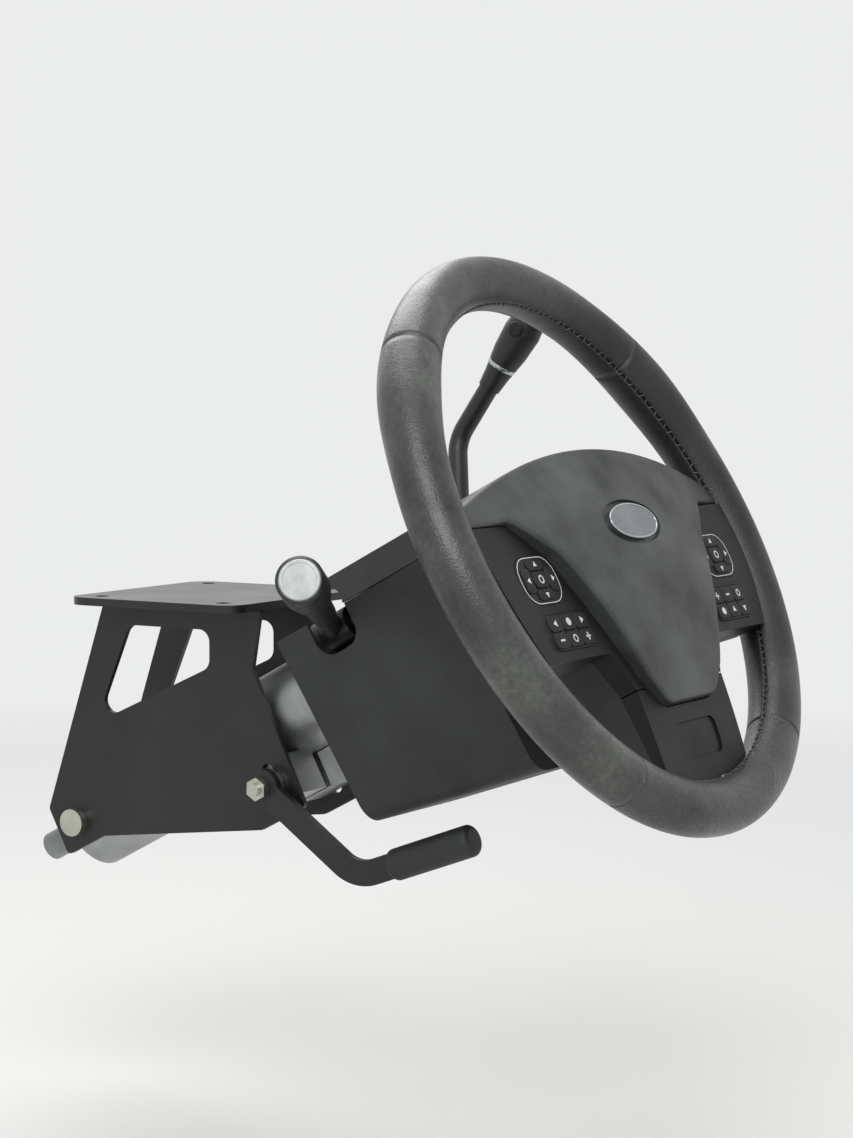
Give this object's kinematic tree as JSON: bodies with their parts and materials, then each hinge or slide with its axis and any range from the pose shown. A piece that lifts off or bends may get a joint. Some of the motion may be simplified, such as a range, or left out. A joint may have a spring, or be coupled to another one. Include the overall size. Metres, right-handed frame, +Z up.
{
  "type": "steering wheel and column",
  "caption": "Spoked car steering wheel with switch pads on a tilting, telescoping column with shroud, turn stalk, column gear lever, clamp handle and a bracket that bolts under a dash beam.",
  "frame": {"origin": "centre of the beam-bolt rectangle on the top face of the support bracket's flange", "axes": "+Z up out of the flange, +Y toward the front of the car, +X toward its right-hand side; the steering axis lies in the YZ plane and rises toward the driver"},
  "size_m": [0.3863, 0.5239, 0.402],
  "materials": {
    "rim_leather": "satin",
    "cover_plastic": "matte",
    "bezel_gloss": "satin",
    "pad_plastic": "satin",
    "plate_satin": "satin",
    "shroud_plastic": "matte",
    "stalk_plastic": "satin",
    "carrier_plastic": "matte",
    "bracket_black": "satin",
    "jacket_aluminium": "satin",
    "tube_steel": "satin",
    "shaft_steel": "satin",
    "bearing_steel": "polished",
    "zinc_steel": "satin",
    "lock_metal": "satin"
  },
  "bodies": {
    "root": {"support_bracket": "bracket_black", "pivot_bolts": "zinc_steel"},
    "jacket": {"outer_jacket": "jacket_aluminium", "lower_bearing": "bearing_steel", "clamp_bolt": "zinc_steel", "clamp_cam": "zinc_steel"},
    "clamp_handle": {"clamp_lever": "bracket_black", "lever_grip": "shroud_plastic"},
    "lower_shaft": {"lower_shaft": "shaft_steel"},
    "upper_column": {"inner_jacket": "tube_steel", "upper_bearing": "bearing_steel", "switch_carrier": "carrier_plastic", "clock_spring": "carrier_plastic", "lower_shroud": "shroud_plastic", "upper_shroud": "shroud_plastic", "ignition_lock": "lock_metal"},
    "turn_stalk": {"turn_stalk": "stalk_plastic", "stalk_knob": "stalk_plastic"},
    "gear_lever": {"gear_arm": "stalk_plastic", "gear_grip": "stalk_plastic"},
    "wheel": {"rim_grip": "rim_leather", "armature": "jacket_aluminium", "hub_nut": "zinc_steel", "airbag_cover": "cover_plastic", "airbag_can": "tube_steel", "emblem_plate": "plate_satin", "switch_bezel_right": "bezel_gloss", "switch_bezel_left": "bezel_gloss", "upper_pad_right": "pad_plastic", "upper_pad_left": "pad_plastic", "lower_pad_right": "pad_plastic", "lower_pad_left": "pad_plastic", "bottom_trim": "bezel_gloss", "back_cover": "shroud_plastic", "upper_shaft": "shaft_steel"}
  },
  "joints": [
    {"name": "column_tilt", "type": "hinge", "parent": "root", "child": "jacket", "pos_m": [0, 0.08686, -0.15277], "axis": [1, 0, 0], "range_deg": [-3.5, 3.5]},
    {"name": "column_reach", "type": "slide", "parent": "jacket", "child": "upper_column", "axis": [0, -0.8829, 0.4695], "range_m": [-0.025, 0.025]},
    {"name": "wheel_turn", "type": "hinge", "parent": "upper_column", "child": "wheel", "pos_m": [0, -0.28398, 0.04441], "axis": [0, -0.8829, 0.4695], "range_deg": [-486, 486]},
    {"name": "lower_shaft_turn", "type": "hinge", "parent": "jacket", "child": "lower_shaft", "pos_m": [0, 0.08686, -0.15277], "axis": [0, -0.8829, 0.4695], "range_deg": [-486, 486]},
    {"name": "clamp_release", "type": "hinge", "parent": "jacket", "child": "clamp_handle", "pos_m": [0, -0.06925, -0.1162], "axis": [1, 0, 0], "range_deg": [0, 55]},
    {"name": "stalk_swing", "type": "hinge", "parent": "upper_column", "child": "turn_stalk", "pos_m": [-0.05, -0.13238, -0.01128], "axis": [0, -0.8829, 0.4695], "range_deg": [-8, 8]},
    {"name": "gear_select", "type": "hinge", "parent": "upper_column", "child": "gear_lever", "pos_m": [0.05, -0.13238, -0.01128], "axis": [0, -0.8829, 0.4695], "range_deg": [-45, 0]}
  ],
  "couplings": [
    {"joint": "lower_shaft_turn", "follows": "wheel_turn", "ratio": 1}
  ]
}
